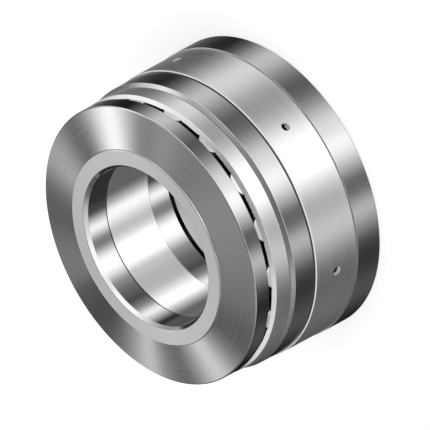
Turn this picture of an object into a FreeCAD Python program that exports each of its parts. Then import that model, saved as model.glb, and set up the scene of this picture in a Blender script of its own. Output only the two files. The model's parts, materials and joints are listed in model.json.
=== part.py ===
import FreeCAD, Part
import os

import Sketcher

# Tandem thrust roller bearing: two stages of cylindrical rollers that share one axial load.
#
# The bearing stands on the back face of its last housing washer. The origin is the centre of
# that face, and +Z runs along the shaft towards the front hub. The load comes in at the hub.
# The first stage hands its share through housing washer 1 and the outer sleeve to the base.
# The rest goes down the inner sleeve to shaft washer 2 and through the second stage.

# Driving sizes in millimetres, and counts
SIZES = {
    # What the shaft and the housing set
    "shaft_diameter": 110.0,
    "outside_diameter": 200.0,
    # Front shaft washer
    "shaft_washer_1_inset": 4.0,
    "shaft_washer_1_thickness": 15.8,
    "hub_width": 12.6,
    "hub_step": 1.0,
    "rim_drop": 4.2,
    "rim_break": 0.7,
    "spigot_height": 3.2,
    "bore_chamfer_width": 2.0,
    "bore_chamfer_depth": 2.6,
    # Second shaft washer and inner sleeve
    "shaft_washer_2_headroom": 1.1,
    "shaft_washer_2_gap": 1.5,
    "inner_sleeve_wall": 6.8,
    # Housing washers and outer sleeve
    "housing_washer_1_inset": 1.5,
    "housing_washer_1_thickness": 19.8,
    "housing_washer_1_gap": 1.2,
    "housing_washer_1_chamfer": 2.3,
    "housing_washer_2_thickness": 19.5,
    "housing_washer_2_gap": 2.5,
    "outer_sleeve_length": 36.2,
    "outer_sleeve_inset": 0.6,
    "outer_sleeve_wall": 2.4,
    "oil_hole_count": 6,
    "oil_hole_diameter": 6.0,
    # Rollers, the same in both stages
    "roller_count": 18,
    "roller_diameter": 18.5,
    "roller_edge": 1.0,
    "roller_play": 0.1,
    # Cages, whose pockets take up the width between an inner and an outer rim
    "cage_setback": 3.8,
    "cage_back_gap": 0.4,
    "cage_inner_rim": 3.5,
    "cage_outer_rim": 2.3,
    "cage_front_land": 0.2,
    "cage_chamfer_depth": 2.4,
    "cage_guide_gap": 0.5,
    "cage_2_shaft_gap": 1.0,
    "pocket_clearance": 0.2,
    "pocket_corner": 1.0,
    # Small break on the other turned edges
    "edge_break": 0.4,
}

# Radii worked out from the driving sizes, outwards from the shaft and inwards from the housing
SHAFT = "sizes.shaft_diameter / 2"
OUTSIDE = "sizes.outside_diameter / 2"
HUB = f"({SHAFT} + sizes.hub_width)"
INNER_SLEEVE = f"({SHAFT} + sizes.inner_sleeve_wall)"
WASHER_1 = f"({OUTSIDE} - sizes.shaft_washer_1_inset)"
HOUSING_1 = f"({OUTSIDE} - sizes.housing_washer_1_inset)"
HOUSING_1_BORE = f"({INNER_SLEEVE} + sizes.housing_washer_1_gap)"
HOUSING_2_BORE = f"({SHAFT} + sizes.housing_washer_2_gap)"
OUTER_SLEEVE = f"({OUTSIDE} - sizes.outer_sleeve_inset)"
OUTER_SLEEVE_BORE = f"({OUTER_SLEEVE} - sizes.outer_sleeve_wall)"
WASHER_2 = f"({OUTER_SLEEVE_BORE} - sizes.shaft_washer_2_gap)"
CAGE = f"({OUTER_SLEEVE_BORE} - sizes.cage_guide_gap)"
CAGE_1_BORE = f"({INNER_SLEEVE} + sizes.cage_guide_gap)"
CAGE_2_BORE = f"({SHAFT} + sizes.cage_2_shaft_gap)"

# Rollers fill the pockets between the rims of the cages
POCKET_INSIDE = f"({CAGE_1_BORE} + sizes.cage_inner_rim)"
POCKET_OUTSIDE = f"({CAGE} - sizes.cage_outer_rim)"
ROLLER = "sizes.roller_diameter / 2"
ROLLER_LENGTH = f"({POCKET_OUTSIDE} - {POCKET_INSIDE} - 2 * sizes.pocket_clearance)"
ROLLER_CIRCLE = f"(({POCKET_INSIDE} + {POCKET_OUTSIDE}) / 2)"
POCKET_HALF_WIDTH = f"({ROLLER} + sizes.pocket_clearance)"

# Heights worked out from the driving sizes, upwards from the back face
ROLLER_SPACE = "(sizes.roller_diameter + 2 * sizes.roller_play)"
STAGE_PITCH = "(sizes.outer_sleeve_length + sizes.housing_washer_1_thickness)"
STAGE_2_FLOOR = "sizes.housing_washer_2_thickness"
STAGE_1_FLOOR = f"({STAGE_2_FLOOR} + {STAGE_PITCH})"
HOUSING_1_BACK = f"({STAGE_2_FLOOR} + sizes.outer_sleeve_length)"
WASHER_2_BACK = f"({STAGE_2_FLOOR} + {ROLLER_SPACE})"
WASHER_2_THICKNESS = f"(sizes.outer_sleeve_length - {ROLLER_SPACE} - sizes.shaft_washer_2_headroom)"
WASHER_2_FRONT = f"({WASHER_2_BACK} + {WASHER_2_THICKNESS})"
WASHER_1_BACK = f"({STAGE_1_FLOOR} + {ROLLER_SPACE})"
INNER_SLEEVE_LENGTH = f"({STAGE_PITCH} - {WASHER_2_THICKNESS} - sizes.spigot_height)"
CAGE_THICKNESS = f"({ROLLER_SPACE} - sizes.cage_setback - sizes.cage_back_gap)"

# Rollers stand half a pitch to each side of the oil hole on +X
HALF_ROLLER_PITCH = "180 / sizes.roller_count"

TOLERANCE = 1e-6

doc = FreeCAD.newDocument("tandem_thrust_roller_bearing")


def make_sheet():
    """Write the driving sizes into a sheet whose cells the features read by name."""
    sheet = doc.addObject("Spreadsheet::Sheet", "sizes")
    for row, (name, value) in enumerate(SIZES.items(), start=1):
        sheet.set(f"A{row}", name)
        sheet.set(f"B{row}", str(value))
        sheet.setAlias(f"B{row}", name)
    doc.recompute()


def new_body(label, height, angle="0", radius="0"):
    """Start a piece at a height, turned to an angle and set out on a radius."""
    body = doc.addObject("PartDesign::Body", label)
    body.Label = label
    body.Placement.Rotation = FreeCAD.Rotation(FreeCAD.Vector(0, 0, 1), 0)
    body.setExpression("Placement.Rotation.Angle", angle)
    body.setExpression("Placement.Base.x", f"({radius}) * cos({angle})")
    body.setExpression("Placement.Base.y", f"({radius}) * sin({angle})")
    body.setExpression("Placement.Base.z", height)
    return body


def origin_feature(body, role):
    """Find one of a body's own origin planes or axes."""
    return next(item for item in body.Origin.OriginFeatures if item.Role == role)


def new_sketch(body, name, plane):
    """Lay an empty sketch on one of the body's own origin planes."""
    sketch = body.newObject("Sketcher::SketchObject", name)
    sketch.AttachmentSupport = [(origin_feature(body, plane), "")]
    sketch.MapMode = "FlatFace"
    return sketch


def hold(sketch, name, kind, formula, *where):
    """Add a named distance or radius to a sketch and bind it to a formula."""
    value = sketch.evalExpression(formula)
    index = sketch.addConstraint(Sketcher.Constraint(kind, *where, value))
    sketch.renameConstraint(index, name)
    sketch.setExpression(f"Constraints.{name}", formula)


def turn(body, corners, plane="XZ_Plane", axis="V_Axis"):
    """Turn a closed outline about an axis. Each corner is a pair of formulas from the origin."""
    sketch = new_sketch(body, f"{body.Label}_outline", plane)
    points = [FreeCAD.Vector(*(sketch.evalExpression(formula) for formula in corner)) for corner in corners]
    for start, end in zip(points, points[1:] + points[:1]):
        sketch.addGeometry(Part.LineSegment(start, end), False)
    for number, (across, along) in enumerate(corners):
        following = (number + 1) % len(corners)
        sketch.addConstraint(Sketcher.Constraint("Coincident", number, 2, following, 1))
        hold(sketch, f"across_{number + 1}", "DistanceX", across, -1, 1, number, 1)
        hold(sketch, f"along_{number + 1}", "DistanceY", along, -1, 1, number, 1)
    turned = body.newObject("PartDesign::Revolution", f"{body.Label}_turned")
    turned.Profile = sketch
    turned.ReferenceAxis = (sketch, [axis])
    turned.Angle = 360.0
    body.Tip = turned
    doc.recompute()
    return turned


def break_edges(body, turned, corners):
    """Chamfer the turned edges that run through the given corners of the outline."""
    names = []
    for radius, height in corners:
        wanted = (turned.evalExpression(radius), turned.evalExpression(height))
        for number, edge in enumerate(turned.Shape.Edges, start=1):
            if not isinstance(edge.Curve, Part.Circle):
                continue
            found = (edge.Curve.Radius, edge.Curve.Center.z)
            if max(abs(found[0] - wanted[0]), abs(found[1] - wanted[1])) < TOLERANCE:
                names.append(f"Edge{number}")
    if len(names) != len(corners):
        raise RuntimeError(f"{body.Label}: {len(names)} of {len(corners)} edges found")
    chamfer = body.newObject("PartDesign::Chamfer", f"{body.Label}_edge_breaks")
    chamfer.Base = (turned, names)
    chamfer.setExpression("Size", "sizes.edge_break")
    body.Tip = chamfer
    doc.recompute()


def repeat_round_axis(body, feature, count):
    """Repeat a feature evenly round the shaft."""
    pattern = body.newObject("PartDesign::PolarPattern", f"{feature.Name}_pattern")
    pattern.Originals = [feature]
    pattern.Axis = (origin_feature(body, "Z_Axis"), [""])
    pattern.Angle = 360.0
    pattern.setExpression("Occurrences", count)
    body.Tip = pattern
    doc.recompute()


def make_ring(label, height, bore, outside, thickness):
    """Turn a plain ring and break its four edges."""
    body = new_body(label, height)
    corners = [(bore, "0"), (outside, "0"), (outside, thickness), (bore, thickness)]
    break_edges(body, turn(body, corners), corners)


def make_shaft_washer_1():
    """Front shaft washer: a raised flat hub, a slightly conical face and a spigot for the sleeve."""
    back = "sizes.spigot_height"
    front = f"({back} + sizes.shaft_washer_1_thickness)"
    hub_foot = f"({front} - sizes.hub_step)"
    rim = f"({front} - sizes.rim_drop)"
    chamfer_bottom = f"({front} - sizes.bore_chamfer_depth)"
    chamfer_mouth = f"({SHAFT} + sizes.bore_chamfer_width)"
    body = new_body("shaft_washer_1", f"{WASHER_1_BACK} - sizes.spigot_height")
    corners = [
        (SHAFT, "0"),
        (INNER_SLEEVE, "0"),
        (INNER_SLEEVE, back),
        (WASHER_1, back),
        (WASHER_1, f"{rim} - sizes.rim_break"),
        (f"{WASHER_1} - sizes.rim_break", rim),
        (HUB, hub_foot),
        (HUB, front),
        (chamfer_mouth, front),
        (SHAFT, chamfer_bottom),
    ]
    turned = turn(body, corners)
    break_edges(body, turned, [(SHAFT, "0"), (INNER_SLEEVE, "0"), (WASHER_1, back)])


def make_housing_washer_1():
    """First housing washer, with a wide chamfer at the front of its outside."""
    top = "sizes.housing_washer_1_thickness"
    chamfer = "sizes.housing_washer_1_chamfer"
    body = new_body("housing_washer_1", HOUSING_1_BACK)
    corners = [
        (HOUSING_1_BORE, "0"),
        (HOUSING_1, "0"),
        (HOUSING_1, f"{top} - {chamfer}"),
        (f"{HOUSING_1} - {chamfer}", top),
        (HOUSING_1_BORE, top),
    ]
    turned = turn(body, corners)
    break_edges(body, turned, [(HOUSING_1_BORE, "0"), (HOUSING_1, "0"), (HOUSING_1_BORE, top)])


def make_outer_sleeve():
    """Sleeve between the housing washers, drilled with radial oil holes at half its length."""
    length = "sizes.outer_sleeve_length"
    body = new_body("outer_sleeve", STAGE_2_FLOOR)
    corners = [(OUTER_SLEEVE_BORE, "0"), (OUTER_SLEEVE, "0"), (OUTER_SLEEVE, length), (OUTER_SLEEVE_BORE, length)]
    break_edges(body, turn(body, corners), corners)
    sketch = new_sketch(body, "oil_hole_outline", "YZ_Plane")
    middle = FreeCAD.Vector(0, sketch.evalExpression(f"{length} / 2"))
    radius = sketch.evalExpression("sizes.oil_hole_diameter / 2")
    hole = sketch.addGeometry(Part.Circle(middle, FreeCAD.Vector(0, 0, 1), radius), False)
    sketch.addConstraint(Sketcher.Constraint("PointOnObject", hole, 3, -2))
    hold(sketch, "middle", "DistanceY", f"{length} / 2", -1, 1, hole, 3)
    hold(sketch, "radius", "Radius", "sizes.oil_hole_diameter / 2", hole)
    drilled = body.newObject("PartDesign::Pocket", "oil_hole")
    drilled.Profile = sketch
    drilled.Type = "ThroughAll"
    drilled.Reversed = True
    body.Tip = drilled
    doc.recompute()
    repeat_round_axis(body, drilled, "sizes.oil_hole_count")


def draw_pocket(sketch):
    """Draw one roller pocket: a rectangle with rounded corners, its length along the radius."""
    inside = sketch.evalExpression(POCKET_INSIDE)
    outside = sketch.evalExpression(POCKET_OUTSIDE)
    half = sketch.evalExpression(POCKET_HALF_WIDTH)
    corner = sketch.evalExpression("sizes.pocket_corner")
    ends = [
        ((inside + corner, -half), (outside - corner, -half)),
        ((outside, -half + corner), (outside, half - corner)),
        ((outside - corner, half), (inside + corner, half)),
        ((inside, half - corner), (inside, -half + corner)),
    ]
    centres = [
        (outside - corner, -half + corner),
        (outside - corner, half - corner),
        (inside + corner, half - corner),
        (inside + corner, -half + corner),
    ]
    quarter = 1.5707963267948966
    up = FreeCAD.Vector(0, 0, 1)
    for start, end in ends:
        sketch.addGeometry(Part.LineSegment(FreeCAD.Vector(*start), FreeCAD.Vector(*end)), False)
    for number, centre in enumerate(centres):
        circle = Part.Circle(FreeCAD.Vector(*centre), up, corner)
        first = (number - 1) * quarter
        sketch.addGeometry(Part.ArcOfCircle(circle, first, first + quarter), False)
    for side in range(4):
        arc = side + 4
        following = (side + 1) % 4
        sketch.addConstraint(Sketcher.Constraint("Tangent", side, 2, arc, 1))
        sketch.addConstraint(Sketcher.Constraint("Tangent", arc, 2, following, 1))
        if side > 0:
            sketch.addConstraint(Sketcher.Constraint("Equal", 4, arc))
    for side in (0, 2):
        sketch.addConstraint(Sketcher.Constraint("Horizontal", side))
    for side in (1, 3):
        sketch.addConstraint(Sketcher.Constraint("Vertical", side))
    hold(sketch, "corner", "Radius", "sizes.pocket_corner", 4)
    hold(sketch, "half_width_one_way", "DistanceY", POCKET_HALF_WIDTH, 0, 1, -1, 1)
    hold(sketch, "half_width_other_way", "DistanceY", POCKET_HALF_WIDTH, -1, 1, 2, 1)
    hold(sketch, "inside", "DistanceX", POCKET_INSIDE, -1, 1, 3, 1)
    hold(sketch, "outside", "DistanceX", POCKET_OUTSIDE, -1, 1, 1, 1)


def make_cage(label, floor, bore):
    """Machined cage: a ring with a chamfered front and one milled pocket for each roller."""
    body = new_body(label, f"{floor} + sizes.cage_back_gap", HALF_ROLLER_PITCH)
    chamfer_foot = f"{CAGE_THICKNESS} - sizes.cage_chamfer_depth"
    corners = [
        (bore, "0"),
        (CAGE, "0"),
        (CAGE, chamfer_foot),
        (f"{POCKET_OUTSIDE} + sizes.cage_front_land", CAGE_THICKNESS),
        (bore, CAGE_THICKNESS),
    ]
    turned = turn(body, corners)
    break_edges(body, turned, [(bore, "0"), (CAGE, "0"), (bore, CAGE_THICKNESS)])
    sketch = new_sketch(body, f"{label}_pocket_outline", "XY_Plane")
    draw_pocket(sketch)
    milled = body.newObject("PartDesign::Pocket", f"{label}_pocket")
    milled.Profile = sketch
    milled.Type = "ThroughAll"
    milled.Reversed = True
    body.Tip = milled
    doc.recompute()
    repeat_round_axis(body, milled, "sizes.roller_count")


def make_roller(label, floor, number):
    """One cylindrical roller with its axis along the radius and a chamfer at each end."""
    angle = f"({number} + 0.5) * 360 / sizes.roller_count"
    axis_height = f"{floor} + sizes.roller_play + {ROLLER}"
    body = new_body(label, axis_height, angle, ROLLER_CIRCLE)
    half = f"{ROLLER_LENGTH} / 2"
    edge = "sizes.roller_edge"
    corners = [
        (f"-{half}", "0"),
        (f"{half}", "0"),
        (f"{half}", f"{ROLLER} - {edge}"),
        (f"{half} - {edge}", ROLLER),
        (f"-{half} + {edge}", ROLLER),
        (f"-{half}", f"{ROLLER} - {edge}"),
    ]
    turn(body, corners, plane="XY_Plane", axis="H_Axis")


def check_and_write():
    """Stop on any failed object, then write each piece to its own file."""
    for item in doc.Objects:
        if "Invalid" in item.State or "Error" in item.State:
            raise RuntimeError(f"{item.Name} failed: {item.State}")
    bodies = [item for item in doc.Objects if item.TypeId == "PartDesign::Body"]
    for body in bodies:
        if body.Shape.isNull() or not body.Shape.isValid() or len(body.Shape.Solids) != 1:
            raise RuntimeError(f"{body.Label} is not one valid solid")
    os.makedirs("parts", exist_ok=True)
    for body in bodies:
        body.Shape.exportStep(f"parts/{body.Label}.step")
        print(f"{body.Label}: {body.Shape.Volume:.1f} cubic mm")


make_sheet()
make_shaft_washer_1()
make_ring("inner_sleeve", WASHER_2_FRONT, SHAFT, INNER_SLEEVE, INNER_SLEEVE_LENGTH)
make_ring("shaft_washer_2", WASHER_2_BACK, SHAFT, WASHER_2, WASHER_2_THICKNESS)
make_housing_washer_1()
make_outer_sleeve()
make_ring("housing_washer_2", "0", HOUSING_2_BORE, OUTSIDE, "sizes.housing_washer_2_thickness")
make_cage("cage_1", STAGE_1_FLOOR, CAGE_1_BORE)
make_cage("cage_2", STAGE_2_FLOOR, CAGE_2_BORE)
for place in range(SIZES["roller_count"]):
    make_roller(f"roller_1_{place + 1:02d}", STAGE_1_FLOOR, place)
    make_roller(f"roller_2_{place + 1:02d}", STAGE_2_FLOOR, place)
doc.recompute()
check_and_write()
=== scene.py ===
import json
from math import cos, pi, radians, sin

import bmesh
import bpy
from mathutils import Matrix, Vector

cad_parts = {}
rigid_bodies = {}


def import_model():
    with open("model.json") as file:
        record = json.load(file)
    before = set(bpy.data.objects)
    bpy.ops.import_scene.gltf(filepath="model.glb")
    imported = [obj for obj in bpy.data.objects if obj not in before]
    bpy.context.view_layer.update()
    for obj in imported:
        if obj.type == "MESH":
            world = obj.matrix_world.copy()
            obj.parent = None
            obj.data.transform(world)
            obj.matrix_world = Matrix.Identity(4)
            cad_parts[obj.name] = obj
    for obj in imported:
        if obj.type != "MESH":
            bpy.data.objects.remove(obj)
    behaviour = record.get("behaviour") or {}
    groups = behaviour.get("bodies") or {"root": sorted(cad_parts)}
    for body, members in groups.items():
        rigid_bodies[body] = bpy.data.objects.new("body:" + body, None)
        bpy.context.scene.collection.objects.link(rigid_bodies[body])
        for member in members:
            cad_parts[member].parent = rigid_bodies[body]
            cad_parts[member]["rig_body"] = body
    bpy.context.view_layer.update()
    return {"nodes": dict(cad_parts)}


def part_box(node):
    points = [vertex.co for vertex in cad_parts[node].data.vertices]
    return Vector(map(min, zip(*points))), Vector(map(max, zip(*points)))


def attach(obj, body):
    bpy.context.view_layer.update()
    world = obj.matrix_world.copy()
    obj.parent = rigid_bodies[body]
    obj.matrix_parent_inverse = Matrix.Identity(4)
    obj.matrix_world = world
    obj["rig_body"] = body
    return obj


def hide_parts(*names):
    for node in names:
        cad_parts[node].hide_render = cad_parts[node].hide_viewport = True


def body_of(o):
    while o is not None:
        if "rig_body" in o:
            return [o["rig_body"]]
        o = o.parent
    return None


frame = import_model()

bl_info = {
    "name": "Tandem Thrust Roller Bearing",
    "version": (1, 0, 0),
    "blender": (4, 5, 0),
    "location": "View3D > Sidebar > Bearing",
    "description": "Dresses the packed two-stage thrust roller bearing and its studio",
    "category": "Object",
}

MM = 0.001
TURN_STEPS = 240
ROLLER_STEPS = 64
DRILL_STEPS = 48
CARD_STEPS = 96
# Points nearer to each other than this are one point
MERGED = 1e-7
# An edge or face this near to a place lies on it
ON_CIRCLE = 1e-6
TOUCHING = 0.01 * MM
# How far the box of a piece may differ from its CAD node
FIT = 0.3 * MM
# Edges that bend more than this stay sharp
SHARP_ANGLE = radians(35)
ROLLER_SHARP_ANGLE = radians(28)
# Share of its squared normal that a turned face keeps in the plane through the shaft
TURNED_SHARE = 0.998
# Turned faces narrower than this are roundings
BROAD_FACE = 0.6 * MM

# Width of the soft edge of a zone of painted shade
PAINTED_SHADE_FADE = 0.2 * MM
# Finer cut steel, and how far inside its radius the change starts and ends
FINE_ROUGHNESS = 0.16
FINE_FADE = (0.15 * MM, 0.05 * MM)
# How far from its end the painted shade on a roller's side starts and stops giving way to its bright end
ROLLER_END_FADE = (0.5 * MM, 0.1 * MM)
# How far the roughness of steel varies from line to line
STREAKS = 0.05

WHITE = (1, 1, 1, 1)
PICTURE_WIDTH = 430
CAMERA_DISTANCE = 1.2
FLOOR_SIZE = 8.0
FLOOR_DROP = 0.02 * MM
FLOOR_TONE = (0.62, 0.62, 0.62, 1)
# Light that the floor adds of its own to what the camera sees
FLOOR_GLOW = 0.5
LINING_GLOW = 0.04
LAMP_PLACE = (-0.25, -0.35, 1.3)
LAMP_AIM = (0, 0, 0.05)
# A ramp holds greys up to 1, so bands are stored as shares of their brightest panel
BRIGHTEST = 2.0
# A ramp with soft bends can dip below zero between its stops
DARKEST = 0.005


# Sizes and finishes

def length_setting(name, description, millimetres):
    return bpy.props.FloatProperty(name=name, description=description, default=millimetres * MM,
                                   unit="LENGTH")


def angle_setting(name, description, degrees):
    return bpy.props.FloatProperty(name=name, description=description, default=radians(degrees),
                                   subtype="ANGLE")


def number_setting(name, description, number):
    return bpy.props.FloatProperty(name=name, description=description, default=number)


def count_setting(name, description, count, least):
    return bpy.props.IntProperty(name=name, description=description, default=count, min=least)


def tone_setting(name, description, tone):
    return bpy.props.FloatVectorProperty(name=name, description=description, default=tone, size=3,
                                         subtype="COLOR", min=0, max=1)


class BearingSizes(bpy.types.PropertyGroup):
    """Radii, heights and edges of the turned pieces."""
    shaft_radius: length_setting("Shaft radius", "Bore of both shaft washers and the inner sleeve", 55.0)
    outside_radius: length_setting("Outside radius", "Outside of the last housing washer", 100.0)
    front_height: length_setting("Front height", "Height of the front hub above the back face", 110.0)
    # Front shaft washer
    rim_radius: length_setting("Rim radius", "Outside of the front shaft washer", 96.0)
    hub_radius: length_setting("Hub radius", "Outside of the raised hub", 67.6)
    hub_step: length_setting("Hub step", "How far the hub stands above the cone", 1.0)
    rim_drop: length_setting("Rim drop", "How far the cone falls from hub to rim", 4.2)
    rim_break: length_setting("Rim break", "Chamfer between cone and rim", 0.7)
    washer_1_floor: length_setting("Front washer raceway", "Height of the front washer's raceway", 94.2)
    washer_1_spigot: length_setting("Front washer spigot", "Height of the spigot's end", 91.0)
    bore_chamfer_width: length_setting("Bore chamfer width", "Chamfer at the mouth of the bore, across", 2.0)
    bore_chamfer_depth: length_setting("Bore chamfer depth", "Chamfer at the mouth of the bore, along", 2.6)
    # Sleeves and the second shaft washer
    inner_sleeve_radius: length_setting("Inner sleeve radius", "Outside of the inner sleeve", 61.8)
    washer_2_radius: length_setting("Second washer radius", "Outside of the second shaft washer", 95.5)
    washer_2_back: length_setting("Second washer back", "Height of the second shaft washer's raceway", 38.2)
    washer_2_front: length_setting("Second washer front", "Height of the second shaft washer's front", 54.6)
    sleeve_radius: length_setting("Outer sleeve radius", "Outside of the outer sleeve", 99.4)
    sleeve_bore: length_setting("Outer sleeve bore", "Bore of the outer sleeve", 97.0)
    oil_hole_diameter: length_setting("Oil hole", "Diameter of the oil holes in the outer sleeve", 6.0)
    # Housing washers
    housing_1_radius: length_setting("First housing washer", "Outside of the first housing washer", 98.5)
    housing_1_bore: length_setting("First housing washer bore", "Bore of the first housing washer", 63.0)
    housing_1_back: length_setting("First housing washer back", "Height of its back face", 55.7)
    housing_1_front: length_setting("First housing washer front", "Height of its raceway", 75.5)
    housing_1_chamfer: length_setting("First housing washer chamfer", "Chamfer at its front edge", 2.3)
    housing_2_bore: length_setting("Last housing washer bore", "Bore of the last housing washer", 57.5)
    housing_2_front: length_setting("Last housing washer front", "Height of its raceway", 19.5)
    # Cages and rollers
    cage_radius: length_setting("Cage radius", "Outside of both cages", 96.5)
    cage_1_bore: length_setting("First cage bore", "Bore of the first cage", 62.3)
    cage_2_bore: length_setting("Second cage bore", "Bore of the second cage", 56.0)
    cage_back_gap: length_setting("Cage back gap", "Gap between a cage and its housing washer", 0.4)
    cage_thickness: length_setting("Cage thickness", "Thickness of both cages", 14.5)
    cage_land: length_setting("Cage land radius", "Where the front chamfer of a cage starts", 94.4)
    cage_chamfer_depth: length_setting("Cage chamfer depth", "Chamfer at the front of a cage, along", 2.4)
    pocket_inside: length_setting("Pocket inside", "Radius where the pockets start", 65.8)
    pocket_outside: length_setting("Pocket outside", "Radius where the pockets end", 94.2)
    pocket_half_width: length_setting("Pocket half width", "Half the width of a pocket", 9.45)
    pocket_corner: length_setting("Pocket corner", "Rounding in the corners of a pocket", 1.0)
    roller_radius: length_setting("Roller radius", "Radius of a roller", 9.25)
    roller_length: length_setting("Roller length", "Length of a roller", 28.0)
    roller_circle: length_setting("Roller circle", "Radius of the circle through the rollers' middles", 80.0)
    roller_edge: length_setting("Roller edge", "Rounding at the ends of a roller", 1.0)
    roller_play: length_setting("Roller play", "Gap between a roller and its raceway", 0.1)
    edge_break: length_setting("Edge break", "Rounding on the other turned edges", 0.4)
    bright_edge: length_setting("Bright edge", "Rounding at the front of a ring that meets another", 0.25)
    back_rounding: length_setting("Back rounding", "Rounding at the back of a bore that meets another", 1.1)
    back_chamfer_length: length_setting(
        "Back chamfer", "Chamfer at the back of the first housing washer, along", 1.2)
    back_chamfer_depth: length_setting("Back chamfer depth", "The same chamfer, across", 0.8)
    sleeve_front_rounding: length_setting("Outer sleeve front", "Rounding at its front edge", 0.6)
    sleeve_back_rounding: length_setting("Outer sleeve rounding", "Rounding at its back edge", 0.9)
    hub_rounding: length_setting("Hub rounding", "Rounding at the outer edge of the hub", 0.7)
    hub_foot_rounding: length_setting("Hub foot rounding", "Rounding between the hub and the cone", 0.12)
    mouth_rounding: length_setting("Mouth rounding", "Rounding at both edges of the bore chamfer", 0.2)
    chamfer_rounding: length_setting("Chamfer rounding", "Rounding at both edges of other chamfers", 0.25)
    back_chamfer_rounding: length_setting("Back chamfer rounding", "Rounding at both its edges", 0.1)
    cage_chamfer_rounding: length_setting("Cage chamfer rounding", "Rounding at its outer edge", 0.06)
    # Painted shade on a cage stops this far short of its chamfer
    painted_shade_margin: length_setting("Painted shade margin", "How far the painted shade on a cage stays from its chamfer", 0.05)
    drill_length: length_setting("Drill length", "Length of the drill for the oil holes", 12.0)
    cutter_reach: length_setting("Cutter reach", "How far the pocket cutter passes a cage's faces", 2.0)
    roller_count: count_setting("Rollers", "Rollers in each stage", 18, 3)
    oil_hole_count: count_setting("Oil holes", "Oil holes round the outer sleeve", 6, 1)


class BearingFinishes(bpy.types.PropertyGroup):
    """Colours of the steel of each kind of piece, and tones that paint shade and highlights."""
    ground_tone: tone_setting("Ground steel", "Hardened washers with a ground sheen", (0.54, 0.533, 0.528))
    satin_tone: tone_setting("Satin steel", "Fine-turned sleeves", (0.93, 0.93, 0.93))
    cage_tone: tone_setting("Cage steel", "Machined cages", (0.94, 0.94, 0.94))
    roller_tone: tone_setting("Roller ends", "Ground ends of the rollers", (0.97, 0.965, 0.96))
    # Painted shade: a dark tone put where shade falls, in the cages' recesses, on the rollers' sides and in
    # two joints
    painted_shade_tone: tone_setting("Painted shade", "Dark tone that paints shade on steel", (0.16, 0.157, 0.153))
    # Painted highlight: a near-white tone on the walls of the oil holes and the front edge of the outer
    # sleeve
    painted_highlight_tone: tone_setting("Painted highlight", "Oil holes and edge of the outer sleeve", (0.97, 0.97, 0.97))


class StudioSettings(bpy.types.PropertyGroup):
    """Place of the camera, level of the light and place of the cards in the bore."""
    azimuth: angle_setting("Azimuth", "Camera's direction round the shaft", -75.0)
    tilt: angle_setting("Tilt", "Angle between the shaft and the line of sight", 54.45)
    roll: angle_setting("Roll", "How far the shaft is turned in the picture", 28.35)
    hub_right: number_setting("Hub to the right", "Hub right of the picture's middle, in pixels", -69.2)
    hub_down: number_setting("Hub down", "Hub below the picture's middle, in pixels", 33.1)
    pixels_per_mm: number_setting("Pixels per millimetre", "Scale of a picture 430 pixels wide", 1.576)
    soft_light: number_setting("Soft light", "Strength of the light from all sides", 0.85)
    panel_light: number_setting("Panel light", "Strength of the panels and cards that steel mirrors", 1.15)
    card_radius: length_setting("Card radius", "Radius of the rolled cards in the bore", 54.4)
    lining_radius: length_setting("Lining radius", "Radius of the dark lining inside the cards", 54.1)
    card_drop: length_setting("Card drop", "How far a card starts below its ring's front", 0.43)
    card_foot: length_setting("Card foot", "Height of the lower end of the last card", 2.0)


def sizes():
    """Sizes of the pieces."""
    return bpy.context.scene.bearing_sizes


def finishes():
    """Colours of the pieces."""
    return bpy.context.scene.bearing_finishes


def studio():
    """Camera, light and cards."""
    return bpy.context.scene.bearing_studio


# Shader nodes

def plug(tree, item, socket):
    """Link a wire to a socket, or set the socket to a value."""
    if isinstance(item, Wire):
        tree.links.new(item.socket, socket)
    else:
        socket.default_value = item


class Wire:
    """One output socket. Arithmetic on it adds Math nodes to its tree."""

    def __init__(self, tree, socket):
        self.tree = tree
        self.socket = socket

    def math(self, operation, *others):
        """Work out an operation on this wire and any other wires or numbers."""
        node = self.tree.nodes.new("ShaderNodeMath")
        node.operation = operation
        for item, socket in zip((self, *others), node.inputs):
            plug(self.tree, item, socket)
        return Wire(self.tree, node.outputs[0])

    def __add__(self, other):
        return self.math("ADD", other)

    __radd__ = __add__

    def __sub__(self, other):
        return self.math("SUBTRACT", other)

    def __mul__(self, other):
        return self.math("MULTIPLY", other)

    def __truediv__(self, other):
        return self.math("DIVIDE", other)


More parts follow.
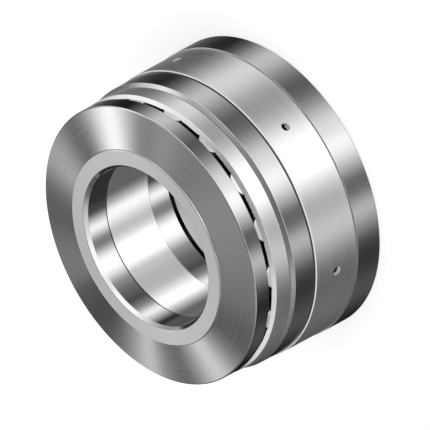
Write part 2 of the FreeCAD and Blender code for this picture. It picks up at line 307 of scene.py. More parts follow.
class Board:
    """A node tree that is being wired."""

    def __init__(self, tree):
        self.tree = tree
        tree.nodes.clear()

    def add(self, kind, settings=None, output=0, **inputs):
        """Add a node with its settings, set or link its sockets, and give back one output.

        An input is named after its socket, with _ for a space, or is _ and the socket's number.
        """
        node = self.tree.nodes.new(kind)
        for name, value in (settings or {}).items():
            setattr(node, name, value)
        for name, item in inputs.items():
            key = int(name[1:]) if name[0] == "_" else name.replace("_", " ")
            plug(self.tree, item, node.inputs[key])
        return Wire(self.tree, node.outputs[output]) if node.outputs else None

    def vector(self, operation, *items, output="Vector"):
        """Work out a vector operation on wires or values."""
        inputs = {f"_{number}": item for number, item in enumerate(items)}
        return self.add("ShaderNodeVectorMath", {"operation": operation}, output, **inputs)

    def dot(self, item, direction):
        """How far a vector reaches along a direction."""
        return self.vector("DOT_PRODUCT", item, tuple(direction), output="Value")

    def length(self, item):
        """Length of a vector."""
        return self.vector("LENGTH", item, output="Value")

    def radius(self, place):
        """Distance of a place from the shaft's axis."""
        return self.length(self.vector("MULTIPLY", place, (1, 1, 0)))

    def turn(self, front, side):
        """Share of a turn, from 0 to 1, of a direction given by its two parts."""
        return side.math("ARCTAN2", front) / (2 * pi) + 0.5

    def smooth(self, item, low, high, start=0.0, end=1.0):
        """Ease from start to end while the item goes from low to high."""
        return self.add("ShaderNodeMapRange", {"interpolation_type": "SMOOTHSTEP"}, Value=item,
                        _1=low, _2=high, _3=start, _4=end)

    def mix_tones(self, factor, first, second):
        """Mix two colours."""
        return self.add("ShaderNodeMix", {"data_type": "RGBA"}, output=2, _0=factor,
                        _6=(*first, 1), _7=(*second, 1))

    def noise(self, place, scale, detail, roughness, dimensions="3D"):
        """Cloudy noise from 0 to 1."""
        return self.add("ShaderNodeTexNoise", {"noise_dimensions": dimensions}, Vector=place, Scale=scale,
                        Detail=detail, Roughness=roughness)

    def glow(self, strength):
        """White light of its own."""
        return self.add("ShaderNodeEmission", Color=WHITE, Strength=strength)

    def bands(self, turn, stops):
        """Grey bands round the shaft. Stops are pairs of an angle in degrees and a grey."""
        node = self.tree.nodes.new("ShaderNodeValToRGB")
        ramp = node.color_ramp
        ramp.interpolation = "CARDINAL"
        ramp.elements.remove(ramp.elements[-1])
        for number, (angle, grey) in enumerate(stops):
            place = (angle + 180) / 360
            share = grey / BRIGHTEST
            element = ramp.elements[0] if number == 0 else ramp.elements.new(place)
            element.position = place
            element.color = (share, share, share, 1)
        plug(self.tree, turn, node.inputs["Fac"])
        grey = self.add("ShaderNodeSeparateColor", Color=Wire(self.tree, node.outputs["Color"]))
        return grey.math("MAXIMUM", DARKEST) * (BRIGHTEST * studio().panel_light)


def blend(factor, first, second):
    """Mix two grey wires."""
    return first + (second - first) * factor


def new_material(name):
    """A material with an empty node tree, and the board that wires it."""
    material = bpy.data.materials.new(name)
    material.use_nodes = True
    return material, Board(material.node_tree)


# Finishes

def turned_steel(name, tone, roughness, anisotropy, metallic=1.0, pitch=0.35, painted_shade=None, fine_inside=None):
    """Steel with fine lines left by turning or grinding about the shaft's axis.

    Lines follow the radius on a face and the height on a cylinder, and pitch is their spacing in
    millimetres. The pair of radii painted_shade bounds a dark tone that paints shade on the
    steel. Inside the radius fine_inside it is cut finer.
    """
    material, board = new_material(name)
    place = board.add("ShaderNodeTexCoord", output="Object")
    radius = board.radius(place)
    height = board.add("ShaderNodeSeparateXYZ", output="Z", Vector=place)
    along = board.add("ShaderNodeCombineXYZ", X=radius, Y=height)
    if painted_shade is None:
        tone = tuple(tone)
    else:
        # Painted shade: the tone darkens between the two radii, where shade falls
        inside, outside = painted_shade
        zone = (board.smooth(radius, inside, inside + PAINTED_SHADE_FADE)
                * board.smooth(radius, outside - PAINTED_SHADE_FADE, outside, 1.0, 0.0))
        tone = board.mix_tones(zone, tone, finishes().painted_shade_tone)
    if fine_inside is not None:
        start, end = FINE_FADE
        roughness = board.smooth(radius, fine_inside - start, fine_inside - end, FINE_ROUGHNESS, roughness)
    finish_steel(board, place, along, tone, roughness, anisotropy, metallic, pitch)
    return material


def finish_steel(board, place, along, tone, roughness, anisotropy, metallic, pitch, depth=0.004, shade=0.06):
    """Shade steel from the place on it and the place across its turning lines.

    Streaks vary the roughness from line to line, and broad faint stains vary it over the whole
    surface. Depth is the lines' depth in millimetres, and shade how far they vary the tone.
    """
    fine = board.noise(along, 1 / (pitch * MM), 3.0, 0.6, "2D")
    broad = board.noise(along, 0.12 / (pitch * MM), 2.0, 0.5, "2D")
    stain = board.noise(place, 38.0, 3.0, 0.55)
    lines = fine * 0.6 + broad * 0.4
    rough = roughness + (lines - 0.5) * STREAKS * 2 + (stain - 0.5) * STREAKS
    level = 1 + (lines - 0.5) * shade * 2 + (stain - 0.5) * shade
    colour = board.add("ShaderNodeVectorMath", {"operation": "SCALE"}, _0=tone, Scale=level)
    bump = board.add("ShaderNodeBump", Strength=1.0, Distance=depth * MM, Height=lines)
    shader = board.add("ShaderNodeBsdfPrincipled", Base_Color=colour, Roughness=rough, Metallic=metallic,
                       Anisotropic=anisotropy, Anisotropic_Rotation=0.25, Normal=bump)
    board.add("ShaderNodeOutputMaterial", Surface=shader)


def roller_steel(stage, axis_height):
    """Polished steel whose lines run round each roller's own axis, with painted shade on its sides and bright
    ends.
    """
    size = sizes()
    material, board = new_material(f"roller_steel_{stage}")
    place = board.add("ShaderNodeTexCoord", output="Object")
    x = board.add("ShaderNodeSeparateXYZ", output="X", Vector=place)
    y = board.add("ShaderNodeSeparateXYZ", output="Y", Vector=place)
    z = board.add("ShaderNodeSeparateXYZ", output="Z", Vector=place)
    radius = board.radius(place)
    pitch_angle = 2 * pi / size.roller_count
    turn = y.math("ARCTAN2", x) + 2 * pi
    offset = turn.math("MODULO", pitch_angle) - pitch_angle / 2
    from_axis = board.length(board.add("ShaderNodeCombineXYZ", X=radius * offset, Y=z - axis_height))
    along = board.add("ShaderNodeCombineXYZ", X=from_axis, Y=radius)
    from_middle = (radius - size.roller_circle).math("ABSOLUTE")
    half = size.roller_length / 2
    start, end = ROLLER_END_FADE
    end_face = board.smooth(from_middle, half - start, half - end)
    # Painted shade on the roller's sides, which lie in the shade of the cage's slots; its ends keep their own
    # light tone
    tone = board.mix_tones(end_face, finishes().painted_shade_tone, finishes().roller_tone)
    finish_steel(board, place, along, tone, roughness=0.3, anisotropy=0.0, metallic=0.35, pitch=0.3,
                 depth=0.01, shade=0.05)
    return material


# Pieces

def finish_mesh(maker, name, material):
    """Turn a bmesh into a shaded object at the origin."""
    mesh = bpy.data.meshes.new(name)
    maker.to_mesh(mesh)
    maker.free()
    piece = bpy.data.objects.new(name, mesh)
    bpy.context.scene.collection.objects.link(piece)
    mesh.materials.append(material)
    return piece


def turned_ring(outline, steps=TURN_STEPS):
    """Turn a closed outline about the shaft's axis and round its edges.

    The outline gives the radius, the height and the rounding of each corner.
    """
    ring = bmesh.new()
    points = [ring.verts.new((radius, 0, height)) for radius, height, rounding in outline]
    lines = [ring.edges.new((start, end)) for start, end in zip(points, points[1:] + points[:1])]
    bmesh.ops.spin(ring, geom=points + lines, cent=(0, 0, 0), axis=(0, 0, 1), angle=2 * pi, steps=steps,
                   use_merge=True)
    bmesh.ops.remove_doubles(ring, verts=ring.verts, dist=MERGED)
    bmesh.ops.recalc_face_normals(ring, faces=ring.faces)
    for radius, height, rounding in outline:
        if rounding <= 0:
            continue
        circle = [edge for edge in ring.edges
                  if all(abs(vert.co.xy.length - radius) < ON_CIRCLE and abs(vert.co.z - height) < ON_CIRCLE
                         for vert in edge.verts)]
        round_edges(ring, circle, rounding, 3)
    return ring


def round_edges(maker, edges, rounding, segments):
    """Round edges with a circular profile."""
    bmesh.ops.bevel(maker, geom=edges, offset=rounding, offset_type="OFFSET", segments=segments,
                    profile=0.5, affect="EDGES", material=-1)


def crease_and_smooth(piece):
    """Shade a piece smooth apart from its sharp edges, with true normals on its turned faces."""
    mesh = piece.data
    maker = bmesh.new()
    maker.from_mesh(mesh)
    for face in maker.faces:
        face.smooth = True
    for edge in maker.edges:
        edge.smooth = len(edge.link_faces) == 2 and edge.calc_face_angle(0) < SHARP_ANGLE
    maker.to_mesh(mesh)
    maker.free()
    set_turned_normals(mesh)


def set_turned_normals(mesh):
    """Give each broad turned face the normals of the cone, cylinder or plane that it stands for."""
    normals = [(0.0, 0.0, 0.0)] * len(mesh.loops)
    for face in mesh.polygons:
        outward = Vector((face.center.x, face.center.y, 0)).normalized()
        radial = face.normal.dot(outward)
        if radial * radial + face.normal.z ** 2 < TURNED_SHARE:
            continue
        spots = [mesh.vertices[index].co for index in face.vertices]
        reach = [spot.xy.length for spot in spots]
        rise = [spot.z for spot in spots]
        if max(max(reach) - min(reach), max(rise) - min(rise)) < BROAD_FACE:
            continue
        for index in face.loop_indices:
            spot = mesh.vertices[mesh.loops[index].vertex_index].co
            out = Vector((spot.x, spot.y, 0)).normalized()
            normals[index] = tuple((out * radial + Vector((0, 0, face.normal.z))).normalized())
    mesh.normals_split_custom_set(normals)


def place_round(angle, radius, height):
    """Place at an angle round the shaft, at a radius and a height, with its X axis outwards."""
    return Matrix.Rotation(angle, 4, "Z") @ Matrix.Translation((radius, 0, height))


def cut(piece, cutter):
    """Take one mesh out of another and drop the cutter."""
    modifier = piece.modifiers.new("cut", "BOOLEAN")
    modifier.operation = "DIFFERENCE"
    modifier.solver = "EXACT"
    modifier.material_mode = "TRANSFER"
    modifier.object = cutter
    graph = bpy.context.evaluated_depsgraph_get()
    graph.update()
    before = piece.data
    after = bpy.data.meshes.new_from_object(piece.evaluated_get(graph))
    piece.modifiers.remove(modifier)
    piece.data = after
    after.name = before.name
    bpy.data.meshes.remove(before)
    dropped = cutter.data
    bpy.data.objects.remove(cutter)
    bpy.data.meshes.remove(dropped)


def hand_in(piece, node):
    """Let a piece stand for its CAD node and move with that node's body."""
    box_low, box_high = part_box(node)
    spots = [vert.co for vert in piece.data.vertices]
    for axis in range(3):
        low = min(spot[axis] for spot in spots)
        high = max(spot[axis] for spot in spots)
        if abs(low - box_low[axis]) > FIT or abs(high - box_high[axis]) > FIT:
            raise RuntimeError(f"{piece.name} reaches from {low} to {high} along axis {axis}, "
                               f"but {node} from {box_low[axis]} to {box_high[axis]}")
    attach(piece, body_of(frame["nodes"][node])[0])
    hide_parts(node)


def plain_ring(node, bore, outside, back, front, edges, material):
    """A ring with a roundings list: back of the bore, back and front of the outside, front of the bore."""
    corners = ((bore, back), (outside, back), (outside, front), (bore, front))
    outline = [(*corner, rounding) for corner, rounding in zip(corners, edges)]
    piece = finish_mesh(turned_ring(outline), f"{node}_ring", material)
    crease_and_smooth(piece)
    hand_in(piece, node)


def dress_faces(piece, material, chosen):
    """Give one more material to the faces that a test of radius and height picks."""
    piece.data.materials.append(material)
    for face in piece.data.polygons:
        if chosen(face.center.xy.length, face.center.z):
            face.material_index = len(piece.data.materials) - 1


class BEARING_OT_front_washer(bpy.types.Operator):
    """Turn the front shaft washer with its raised hub, cone and bore chamfer"""
    bl_idname = "bearing.front_washer"
    bl_label = "Front shaft washer"

    def execute(self, context):
        size = sizes()
        bore = size.shaft_radius
        back = size.washer_1_spigot
        front = size.front_height
        rim_top = front - size.rim_drop
        outline = [
            (bore, back, size.back_rounding),
            (size.inner_sleeve_radius, back, size.edge_break),
            (size.inner_sleeve_radius, size.washer_1_floor, 0),
            (size.rim_radius, size.washer_1_floor, size.edge_break),
            (size.rim_radius, rim_top - size.rim_break, size.chamfer_rounding),
            (size.rim_radius - size.rim_break, rim_top, size.chamfer_rounding),
            (size.hub_radius, front - size.hub_step, size.hub_foot_rounding),
            (size.hub_radius, front, size.hub_rounding),
            (bore + size.bore_chamfer_width, front, size.mouth_rounding),
            (bore, front - size.bore_chamfer_depth, size.mouth_rounding),
        ]
        mirror = turned_steel("ground_steel_front", finishes().ground_tone, roughness=0.11, anisotropy=0.75)
        piece = finish_mesh(turned_ring(outline), "shaft_washer_1_ring", mirror)

        def on_back_rounding(radius, height):
            return height < back + size.back_rounding and bore + TOUCHING < radius < bore + size.back_rounding

        # Painted shade: a dark tone on the rounding at the back of the bore, where this washer meets the
        # inner sleeve, stands in for the shade in that joint
        painted_shade = turned_steel("oiled_joint_bore", finishes().painted_shade_tone, roughness=0.35, anisotropy=0.2,
                             metallic=0.6)
        dress_faces(piece, painted_shade, on_back_rounding)
        crease_and_smooth(piece)
        hand_in(piece, "shaft_washer_1")
        return {"FINISHED"}


class BEARING_OT_inner_sleeve(bpy.types.Operator):
    """Turn the sleeve between the shaft washers"""
    bl_idname = "bearing.inner_sleeve"
    bl_label = "Inner sleeve"

    def execute(self, context):
        size = sizes()
        satin = turned_steel("satin_steel_inner", finishes().satin_tone, roughness=0.24, anisotropy=0.3,
                             metallic=0.93)
        edges = [size.edge_break, size.edge_break, size.edge_break, size.bright_edge]
        plain_ring("inner_sleeve", size.shaft_radius, size.inner_sleeve_radius, size.washer_2_front,
                   size.washer_1_spigot, edges, satin)
        return {"FINISHED"}


class BEARING_OT_second_washer(bpy.types.Operator):
    """Turn the shaft washer of the second stage"""
    bl_idname = "bearing.second_washer"
    bl_label = "Second shaft washer"

    def execute(self, context):
        size = sizes()
        mirror = turned_steel("ground_steel_second", finishes().ground_tone, roughness=0.14, anisotropy=0.3)
        edges = [size.edge_break, size.edge_break, size.edge_break, size.bright_edge]
        plain_ring("shaft_washer_2", size.shaft_radius, size.washer_2_radius, size.washer_2_back,
                   size.washer_2_front, edges, mirror)
        return {"FINISHED"}


class BEARING_OT_housing_washers(bpy.types.Operator):
    """Turn both housing washers"""
    bl_idname = "bearing.housing_washers"
    bl_label = "Housing washers"

    def execute(self, context):
        size = sizes()
        mirror = turned_steel("ground_steel_housing", finishes().ground_tone, roughness=0.15, anisotropy=0.3,
                              metallic=0.97)
        bore = size.housing_1_bore
        outside = size.housing_1_radius
        back = size.housing_1_back
        front = size.housing_1_front
        chamfer = size.housing_1_chamfer
        outline = [
            (bore, back, size.edge_break),
            (outside - size.back_chamfer_depth, back, size.back_chamfer_rounding),
            (outside, back + size.back_chamfer_length, size.back_chamfer_rounding),
            (outside, front - chamfer, size.chamfer_rounding),
            (outside - chamfer, front, size.chamfer_rounding),
            (bore, front, size.edge_break),
        ]
        piece = finish_mesh(turned_ring(outline), "housing_washer_1_ring", mirror)
        crease_and_smooth(piece)
        hand_in(piece, "housing_washer_1")
        edges = [size.edge_break, size.edge_break, size.bright_edge, size.edge_break]
        plain_ring("housing_washer_2", size.housing_2_bore, size.outside_radius, 0.0, size.housing_2_front,
                   edges, mirror)
        return {"FINISHED"}


class BEARING_OT_outer_sleeve(bpy.types.Operator):
    """Turn the outer sleeve and drill its oil holes"""
    bl_idname = "bearing.outer_sleeve"
    bl_label = "Outer sleeve"

    def execute(self, context):
        size = sizes()
        satin = turned_steel("satin_steel_outer", finishes().satin_tone, roughness=0.37, anisotropy=0.3,
                             metallic=0.96, pitch=0.3)
        bore = size.sleeve_bore
        outside = size.sleeve_radius
        back = size.housing_2_front
        front = size.housing_1_back
        rounding = size.sleeve_front_rounding
        outline = [
            (bore, back, size.edge_break),
            (outside, back, size.sleeve_back_rounding),
            (outside, front, rounding),
            (bore, front, size.edge_break),
        ]
        piece = finish_mesh(turned_ring(outline), "outer_sleeve_ring", satin)
        # Painted highlight: near-white, almost unmetallic steel on the front edge and in the oil holes stands
        # in for the bright reflections there
        bright = turned_steel("painted_highlight_steel", finishes().painted_highlight_tone, roughness=0.35, anisotropy=0.2,
                              metallic=0.1, pitch=0.3)
        # Painted shade: a dark tone on the front face, where the first housing washer sits on the sleeve,
        # stands in for the shade in that joint
        painted_shade = turned_steel("painted_joint_shade", finishes().painted_shade_tone, roughness=0.35, anisotropy=0.2,
                             metallic=0.6, pitch=0.3)

        def on_front_edge(radius, height):
            return height > front - rounding and radius > outside - rounding

        def on_front_face(radius, height):
            return height > front - TOUCHING

        dress_faces(piece, bright, on_front_edge)
        dress_faces(piece, painted_shade, on_front_face)
        cut(piece, self.oil_hole_drill((bore + outside) / 2, (back + front) / 2, bright))
        crease_and_smooth(piece)
        hand_in(piece, "outer_sleeve")
        return {"FINISHED"}

    def oil_hole_drill(self, radius, height, material):
        """Make one drill for each oil hole, at a radius and a height."""
        size = sizes()
        bit = size.oil_hole_diameter / 2
        drill = bmesh.new()
        for number in range(size.oil_hole_count):
            angle = number * 2 * pi / size.oil_hole_count
            place = place_round(angle, radius, height) @ Matrix.Rotation(pi / 2, 4, "Y")
            bmesh.ops.create_cone(drill, cap_ends=True, segments=DRILL_STEPS, radius1=bit, radius2=bit,
                                  depth=size.drill_length, matrix=place)
        bmesh.ops.recalc_face_normals(drill, faces=drill.faces)
        return finish_mesh(drill, "oil_hole_drill", material)


def roller_angle(number):
    """Angle round the shaft of a roller and of its pocket."""
    return (number + 0.5) * 2 * pi / sizes().roller_count


class BEARING_OT_cages(bpy.types.Operator):
    """Turn both cages and mill their roller pockets"""
    bl_idname = "bearing.cages"
    bl_label = "Cages"

    def execute(self, context):
        size = sizes()
        stages = ((1, size.housing_1_front, size.cage_1_bore), (2, size.housing_2_front, size.cage_2_bore))
        for stage, floor, bore in stages:
            # Painted shade on the front face, pockets and back of the cage, between its bore and the start of
            # its chamfer, where shade falls in the gaps round the rollers
            painted_shade = (bore + PAINTED_SHADE_FADE, size.cage_land - size.painted_shade_margin)
            machined = turned_steel(f"cage_steel_{stage}", finishes().cage_tone, roughness=0.37,
                                    anisotropy=0.3, metallic=0.95, pitch=0.45, painted_shade=painted_shade,
                                    fine_inside=size.cage_radius)
            back = floor + size.cage_back_gap
            front = back + size.cage_thickness
            outline = [
                (bore, back, size.edge_break),
                (size.cage_radius, back, size.edge_break),
                (size.cage_radius, front - size.cage_chamfer_depth, size.cage_chamfer_rounding),
                (size.cage_land, front, 0),
                (bore, front, size.edge_break),
            ]
            piece = finish_mesh(turned_ring(outline), f"cage_{stage}_ring", machined)
            cut(piece, self.pocket_cutter(back, front, machined))
            crease_and_smooth(piece)
            hand_in(piece, f"cage_{stage}")
        return {"FINISHED"}

    def pocket_cutter(self, back, front, material):
        """Make one rounded block for each pocket."""
        size = sizes()
        cutter = bmesh.new()
        middle = (size.pocket_inside + size.pocket_outside) / 2
        block = Matrix.Diagonal((size.pocket_outside - size.pocket_inside, 2 * size.pocket_half_width,
                                 front - back + 2 * size.cutter_reach, 1))
        for number in range(size.roller_count):
            place = place_round(roller_angle(number), middle, (back + front) / 2) @ block
            made = bmesh.ops.create_cube(cutter, size=1.0, matrix=place)
            upright = [edge for edge in cutter.edges if edge.verts[0] in made["verts"]
                       and abs(edge.verts[0].co.xy.length - edge.verts[1].co.xy.length) < MERGED
                       and abs(edge.verts[0].co.z - edge.verts[1].co.z) > MM]
            round_edges(cutter, upright, size.pocket_corner, 4)
        bmesh.ops.recalc_face_normals(cutter, faces=cutter.faces)
        return finish_mesh(cutter, "pocket_cutter", material)


class BEARING_OT_rollers(bpy.types.Operator):
    """Turn the rollers of both stages"""
    bl_idname = "bearing.rollers"
    bl_label = "Rollers"

    def execute(self, context):
        size = sizes()
        half = size.roller_length / 2
        outline = [
            (0, -half, 0),
            (size.roller_radius, -half, size.roller_edge),
            (size.roller_radius, half, size.roller_edge),
            (0, half, 0),
        ]
        for stage, floor in ((1, size.housing_1_front), (2, size.housing_2_front)):
            height = floor + size.roller_play + size.roller_radius
            material = roller_steel(stage, height)
            for number in range(size.roller_count):
                roller = turned_ring(outline, ROLLER_STEPS)
                bmesh.ops.dissolve_degenerate(roller, dist=MERGED, edges=roller.edges)
                place = (place_round(roller_angle(number), size.roller_circle, height)
                         @ Matrix.Rotation(pi / 2, 4, "Y"))
                bmesh.ops.transform(roller, matrix=place, verts=roller.verts)
                name = f"roller_{stage}_{number + 1:02d}"
                piece = finish_mesh(roller, f"{name}_body", material)
                for face in piece.data.polygons:
                    face.use_smooth = True
                piece.data.set_sharp_from_angle(angle=ROLLER_SHARP_ANGLE)
                hand_in(piece, name)
        return {"FINISHED"}


# Stage

# Grey of the studio's panels where a wall mirrors them. Angles are the way that the wall faces,
# in degrees from the camera's side.
WALL_BANDS = (
    (-180, 0.06), (-140, 0.30), (-110, 0.08), (-92, 0.26), (-78, 0.10), (-72, 0.05), (-66, 0.02),
    (-60, 0.05), (-54, 0.26), (-48, 0.66), (-44, 0.84), (-40, 0.72), (-36, 0.46), (-30, 0.20), (-25, 0.17),
    (-20, 0.32), (-16, 0.62), (-11, 1.05), (-5, 1.32), (0, 1.60), (6, 1.04), (12, 0.34), (16, 0.19),
    (20, 0.35), (25, 0.74), (30, 0.52), (36, 0.17), (42, 0.05), (50, 0.055), (60, 0.10), (76, 0.02),
    (92, 0.015),
)
# The same for the edges that face backwards
BACK_BANDS = (
    (-180, 0.05), (-92, 0.03), (0, 0.02), (44, 0.02), (56, 0.10), (66, 0.25), (80, 0.30), (92, 0.20),
    (130, 0.08), (180, 0.05),
)
# The same for the chamfer at the mouth of the bore
BORE_CHAMFER_BANDS = (
    (-180, 0.40), (-120, 0.20), (-92, 0.12), (-80, 0.60), (-70, 0.42), (-60, 0.52), (-50, 0.88),
    (-40, 1.50), (-30, 1.82), (-18, 1.72), (-8, 1.42), (0, 1.82), (10, 1.80), (20, 1.58), (30, 1.20),
    (40, 0.95), (48, 0.66), (56, 0.27), (64, 0.11), (80, 0.05), (92, 0.03), (130, 0.20), (180, 0.40),
)
# The same for the chamfer at the front of a cage
CAGE_CHAMFER_BANDS = (
    (-180, 0.40), (-120, 0.40), (-92, 0.40), (-84, 0.64), (-76, 0.80), (-60, 0.80), (-46, 0.74),
    (-38, 0.60), (-30, 0.37), (-18, 0.14), (-6, 0.12), (8, 0.10), (18, 0.14), (28, 0.32), (36, 0.55),
    (46, 0.58), (58, 0.78), (70, 0.84), (80, 0.72), (86, 0.50), (92, 0.20), (130, 0.30), (180, 0.40),
)
# The same for the chamfer of the first housing washer
HOUSING_CHAMFER_BANDS = (
    (-180, 0.40), (-120, 0.30), (-92, 0.20), (-80, 0.25), (-73, 0.75), (-66, 1.05), (-60, 1.36),
    (-54, 1.20), (-47, 0.72), (-40, 0.56), (-26, 0.48), (-16, 0.38), (-6, 0.32), (2, 0.28), (10, 0.18),
    (22, 0.22), (30, 0.32), (37, 0.52), (43, 0.47), (52, 0.30), (66, 0.17), (92, 0.07), (130, 0.20),
    (180, 0.40),
)
# The same for the cone
CONE_BANDS = (
    (-180, 0.27), (-166, 0.26), (-154, 0.17), (-143, 0.14), (-134, 0.24), (-126, 0.46), (-119, 0.60),
    (-109, 0.42), (-100, 0.19), (-94, 0.21), (-86, 0.55), (-78, 1.30), (-71, 1.70), (-64, 1.15),
    (-56, 0.46), (-49, 0.31), (-38, 0.42), (-24, 0.27), (0, 0.37), (24, 0.31), (46, 0.23), (61, 0.14),
    (72, 0.20), (81, 0.52), (90, 1.02), (98, 0.66), (108, 0.22), (118, 0.22), (126, 0.50), (132, 0.90),
    (142, 0.46), (155, 0.11),
)
# The same for the flat hub
HUB_BANDS = (
    (-180, 0.72), (-150, 0.74), (-120, 0.82), (-96, 0.84), (-72, 0.86), (-58, 0.92), (-48, 0.91),
    (-36, 0.79), (-24, 0.68), (0, 0.72), (30, 0.76), (60, 0.84), (84, 0.86), (122, 0.92), (132, 0.91),
    (144, 0.83), (156, 0.70), (168, 0.70), (180, 0.72),
)
# A wall stands upright, and the hub faces along the shaft. Between the two tilts of a row, in degrees,
# the panels of the row take over from those before it.
TILTED_BANDS = (
    (20.0, 33.0, BORE_CHAMFER_BANDS),
    (38.4, 39.6, CAGE_CHAMFER_BANDS),
    (42.3, 43.5, HOUSING_CHAMFER_BANDS),
    (56.0, 74.0, CONE_BANDS),
    (84.6, 88.4, HUB_BANDS),
)
# Tilts, in degrees, over which the panels for backward edges start and end
BACKWARD_START = (-14.0, -6.0)
BACKWARD_END = (-80.0, -60.0)
# Grey of the rolled cards inside the bore, by the way that the wall behind them faces
WASHER_CARD = (
    (-180, 0.05), (-140, 0.10), (-115, 0.08), (-90, 0.08), (-72, 0.09), (-63, 0.13), (-54, 0.13),
    (-45, 1.08), (-41, 1.35), (-36, 0.60), (-29, 0.17), (-23, 0.16), (-15, 0.30), (-9, 0.60), (-3, 1.40),
    (4, 1.70), (9, 1.30), (14, 0.55), (18, 0.33), (22, 0.60), (28, 1.45), (32, 1.10), (38, 0.26),
    (45, 0.07), (60, 0.04), (80, 0.03), (120, 0.03), (150, 0.03), (180, 0.05),
)
SLEEVE_CARD = (
    (-180, 0.24), (-140, 0.40), (-115, 0.12), (-90, 0.10), (-66, 0.10), (-55, 0.16), (-47, 0.64),
    (-41, 1.08), (-35, 0.88), (-28, 0.50), (-20, 0.42), (-13, 0.48), (-8, 0.62), (-2, 1.16), (6, 1.28),
    (12, 0.84), (17, 0.53), (22, 0.54), (28, 0.80), (34, 0.90), (39, 0.50), (46, 0.14), (56, 0.09),
    (78, 0.09), (92, 0.22), (130, 0.30), (180, 0.24),
)
CAGE_CARD = (
    (-180, 0.30), (-60, 0.22), (-30, 0.34), (0, 0.45), (20, 0.34), (35, 0.42), (50, 0.30), (70, 0.20),
    (180, 0.30),
)


def side_axes():
    """Level directions from the shaft to the camera's side and a quarter turn further."""
    azimuth = studio().azimuth
    return Vector((cos(azimuth), sin(azimuth), 0)), Vector((-sin(azimuth), cos(azimuth), 0))


def sight_axes():
    """Directions towards the camera and to the right and the top of its picture."""
    place = studio()
    outward, sideways = side_axes()
    up = Vector((0, 0, 1))
    toward = sin(place.tilt) * outward + cos(place.tilt) * up
    lean = -cos(place.tilt) * outward + sin(place.tilt) * up
    right = -cos(place.roll) * lean - sin(place.roll) * sideways
    upright = -sin(place.roll) * lean + cos(place.roll) * sideways
    return toward, right, upright


class BEARING_OT_camera(bpy.types.Operator):
    """Set the camera at the picture's angle"""
    bl_idname = "bearing.camera"
    bl_label = "Camera"

    def execute(self, context):
        toward, right, upright = sight_axes()
        place = studio()
        hub = Vector((0, 0, sizes().front_height))
        pixel = MM / place.pixels_per_mm
        middle = hub - right * place.hub_right * pixel + upright * place.hub_down * pixel
        data = bpy.data.cameras.new("camera")
        data.type = "ORTHO"
        data.ortho_scale = PICTURE_WIDTH * pixel
        data.clip_end = 20
        camera = bpy.data.objects.new("camera", data)
        turned = Matrix((right, upright, toward)).transposed().to_4x4()
        camera.matrix_world = Matrix.Translation(middle + toward * CAMERA_DISTANCE) @ turned
        context.scene.collection.objects.link(camera)
        context.scene.camera = camera
        return {"FINISHED"}


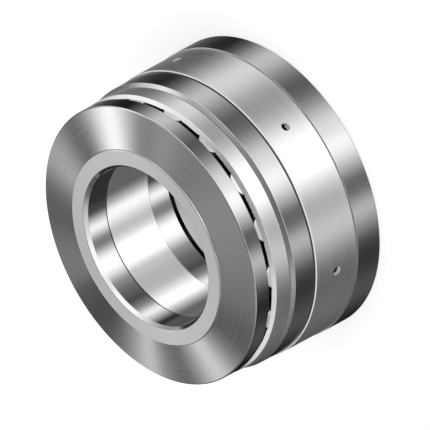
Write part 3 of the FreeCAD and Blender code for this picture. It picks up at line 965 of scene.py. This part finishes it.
class BEARING_OT_stage(bpy.types.Operator):
    """Lay the floor and light the studio"""
    bl_idname = "bearing.stage"
    bl_label = "Floor and light"

    def execute(self, context):
        self.lay_floor()
        self.light_world(context)
        self.roll_cards()
        self.hang_lamp(context)
        context.scene.view_settings.view_transform = "Standard"
        return {"FINISHED"}

    def lay_floor(self):
        """A pale floor that keeps a soft shadow and lets the studio show in the steel."""
        material, board = new_material("pale_floor")
        seen = board.add("ShaderNodeLightPath", output="Is Camera Ray")
        mirrored = board.add("ShaderNodeLightPath", output="Is Glossy Ray")
        matt = board.add("ShaderNodeBsdfDiffuse", Color=FLOOR_TONE)
        lit = board.add("ShaderNodeAddShader", _0=matt, _1=board.glow(seen * FLOOR_GLOW))
        clear = board.add("ShaderNodeBsdfTransparent")
        surface = board.add("ShaderNodeMixShader", _0=mirrored, _1=lit, _2=clear)
        board.add("ShaderNodeOutputMaterial", Surface=surface)
        maker = bmesh.new()
        bmesh.ops.create_grid(maker, x_segments=1, y_segments=1, size=FLOOR_SIZE,
                              matrix=Matrix.Translation((0, 0, -FLOOR_DROP)))
        finish_mesh(maker, "floor", material)

    def light_world(self, context):
        """White behind the object, even light on it, and grey panels where the steel mirrors the studio.

        A mirrored ray and the line of sight lie on both sides of the way that the steel faces, so
        their sum gives that way, and each part of the steel gets panels of its own.
        """
        world = bpy.data.worlds.new("studio")
        context.scene.world = world
        world.use_nodes = True
        board = Board(world.node_tree)
        outward, sideways = side_axes()
        ray = board.add("ShaderNodeTexCoord", output="Generated")
        facing = board.vector("NORMALIZE", board.vector("ADD", ray, tuple(sight_axes()[0])))
        turn = board.turn(board.dot(facing, outward), board.dot(facing, -sideways))
        tilt = board.dot(facing, (0, 0, 1)).math("ARCSINE") * (180 / pi)
        backward = board.smooth(tilt, *BACKWARD_START, 1.0, 0.0) * board.smooth(tilt, *BACKWARD_END)
        level = blend(backward, board.bands(turn, WALL_BANDS), board.bands(turn, BACK_BANDS))
        for low, high, stops in TILTED_BANDS:
            level = blend(board.smooth(tilt, low, high), level, board.bands(turn, stops))
        panels = board.add("ShaderNodeBackground", Color=WHITE, Strength=level)
        white = board.add("ShaderNodeBackground", Color=WHITE, Strength=1.0)
        even = board.add("ShaderNodeBackground", Color=WHITE, Strength=studio().soft_light)
        seen = board.add("ShaderNodeLightPath", output="Is Camera Ray")
        mirrored = board.add("ShaderNodeLightPath", output="Is Glossy Ray")
        through = board.add("ShaderNodeLightPath", output="Is Transmission Ray")
        surface = board.add("ShaderNodeMixShader", _0=mirrored, _1=even, _2=panels)
        surface = board.add("ShaderNodeMixShader", _0=seen.math("MAXIMUM", through), _1=surface, _2=white)
        board.add("ShaderNodeOutputWorld", Surface=surface)

    def roll_cards(self):
        """Rolled cards in the bore, seen only in its steel, one in front of each ring, and a dark lining."""
        size = sizes()
        cards = studio()
        outward, sideways = side_axes()
        fronts = (size.washer_1_spigot, size.washer_2_front, size.washer_2_back)
        joints = [size.front_height - size.bore_chamfer_depth, *(front - cards.card_drop for front in fronts),
                  cards.card_foot]
        rings = (WASHER_CARD, SLEEVE_CARD, WASHER_CARD, CAGE_CARD)
        for number, (stops, top, bottom) in enumerate(zip(rings, joints, joints[1:]), 1):
            material, board = new_material(f"rolled_card_{number}")
            place = board.add("ShaderNodeTexCoord", output="Object")
            turn = board.turn(board.dot(place, -outward), board.dot(place, sideways))
            board.add("ShaderNodeOutputMaterial", Surface=board.glow(board.bands(turn, stops)))
            self.roll_card(f"rolled_card_{number}", cards.card_radius, top, bottom, material)
        dark, board = new_material("dark_lining")
        board.add("ShaderNodeOutputMaterial", Surface=board.glow(LINING_GLOW))
        self.roll_card("dark_lining", cards.lining_radius, joints[0], joints[-1], dark)

    @staticmethod
    def roll_card(name, radius, top, bottom, material):
        """A tube that only mirrors see."""
        maker = bmesh.new()
        bmesh.ops.create_cone(maker, cap_ends=False, segments=CARD_STEPS, radius1=radius, radius2=radius,
                              depth=top - bottom, matrix=Matrix.Translation((0, 0, (top + bottom) / 2)))
        card = finish_mesh(maker, name, material)
        for ray in ("camera", "diffuse", "transmission", "volume_scatter", "shadow"):
            setattr(card, f"visible_{ray}", False)

    def hang_lamp(self, context):
        """One large soft lamp above, which gives the floor its shadow and stays out of the mirrors."""
        data = bpy.data.lights.new("key_lamp", "AREA")
        data.shape = "DISK"
        data.size = 1.2
        data.energy = 3.0
        lamp = bpy.data.objects.new("key_lamp", data)
        lamp.location = LAMP_PLACE
        lamp.rotation_euler = (Vector(LAMP_AIM) - lamp.location).to_track_quat("-Z", "Y").to_euler()
        lamp.visible_glossy = False
        context.scene.collection.objects.link(lamp)


class BEARING_PT_panel(bpy.types.Panel):
    """Lists the pieces of the bearing and its stage"""
    bl_label = "Thrust roller bearing"
    bl_idname = "BEARING_PT_panel"
    bl_space_type = "VIEW_3D"
    bl_region_type = "UI"
    bl_category = "Bearing"

    def draw(self, context):
        column = self.layout.column()
        for operator in OPERATORS:
            column.operator(operator.bl_idname)
        for group in (sizes(), finishes(), studio()):
            box = self.layout.box()
            for name in group.bl_rna.properties.keys():
                if name not in ("rna_type", "name"):
                    box.prop(group, name)


GROUPS = (BearingSizes, BearingFinishes, StudioSettings)
OPERATORS = (
    BEARING_OT_front_washer,
    BEARING_OT_inner_sleeve,
    BEARING_OT_second_washer,
    BEARING_OT_housing_washers,
    BEARING_OT_outer_sleeve,
    BEARING_OT_cages,
    BEARING_OT_rollers,
    BEARING_OT_camera,
    BEARING_OT_stage,
)
CLASSES = GROUPS + OPERATORS + (BEARING_PT_panel,)


def register():
    for item in CLASSES:
        bpy.utils.register_class(item)
    bpy.types.Scene.bearing_sizes = bpy.props.PointerProperty(type=BearingSizes)
    bpy.types.Scene.bearing_finishes = bpy.props.PointerProperty(type=BearingFinishes)
    bpy.types.Scene.bearing_studio = bpy.props.PointerProperty(type=StudioSettings)


def unregister():
    del bpy.types.Scene.bearing_studio
    del bpy.types.Scene.bearing_finishes
    del bpy.types.Scene.bearing_sizes
    for item in reversed(CLASSES):
        bpy.utils.unregister_class(item)


def main():
    register()
    bpy.ops.bearing.front_washer()
    bpy.ops.bearing.inner_sleeve()
    bpy.ops.bearing.second_washer()
    bpy.ops.bearing.housing_washers()
    bpy.ops.bearing.outer_sleeve()
    bpy.ops.bearing.cages()
    bpy.ops.bearing.rollers()
    bpy.ops.bearing.camera()
    bpy.ops.bearing.stage()


if __name__ == "__main__":
    main()
